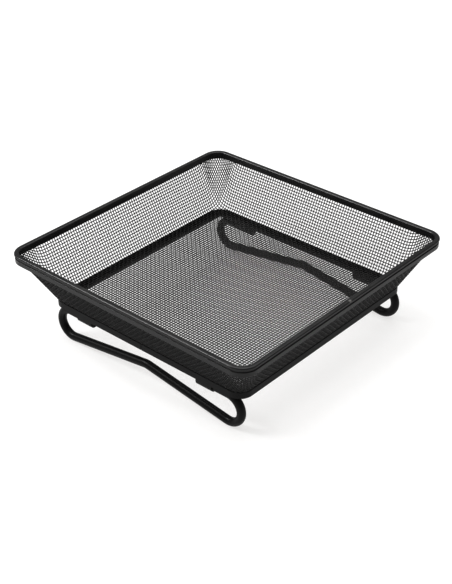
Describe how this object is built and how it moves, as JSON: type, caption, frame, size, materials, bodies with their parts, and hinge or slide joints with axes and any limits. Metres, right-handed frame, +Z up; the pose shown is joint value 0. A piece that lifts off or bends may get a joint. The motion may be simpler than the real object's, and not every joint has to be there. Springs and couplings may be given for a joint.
{
  "type": "mesh tray with folding legs",
  "caption": "Square woven-wire tray with a grooved rolled steel rim, standing on wire legs held in a base channel by straps; they fold flat beneath its floor.",
  "frame": {"origin": "on the ground under the middle of the tray, with the legs unfolded", "axes": "+Z up; X runs along both leg hinges; the front leg is on the -Y side and the back leg on the +Y side"},
  "size_m": [0.178, 0.178, 0.057],
  "materials": {
    "rim_coat": "satin black powder coat",
    "mesh_coat": "satin black powder coat on woven wire",
    "ring_coat": "satin black powder coat",
    "tab_coat": "satin black powder coat",
    "leg_coat": "satin black powder coat"
  },
  "bodies": {
    "tray": {"rim_channel": "rim_coat", "mesh_basket": "mesh_coat", "base_ring": "ring_coat", "tab_front_left": "tab_coat", "tab_front_right": "tab_coat", "tab_back_left": "tab_coat", "tab_back_right": "tab_coat"},
    "front_leg": {"leg_front": "leg_coat"},
    "back_leg": {"leg_back": "leg_coat"}
  },
  "joints": [
    {"name": "front_leg_fold", "type": "hinge", "parent": "tray", "child": "front_leg", "pos_m": [0, -0.06954, 0.02035], "axis": [1, 0, 0], "range_deg": [0, 86]},
    {"name": "back_leg_fold", "type": "hinge", "parent": "tray", "child": "back_leg", "pos_m": [0, 0.06954, 0.02035], "axis": [-1, 0, 0], "range_deg": [0, 86]}
  ]
}
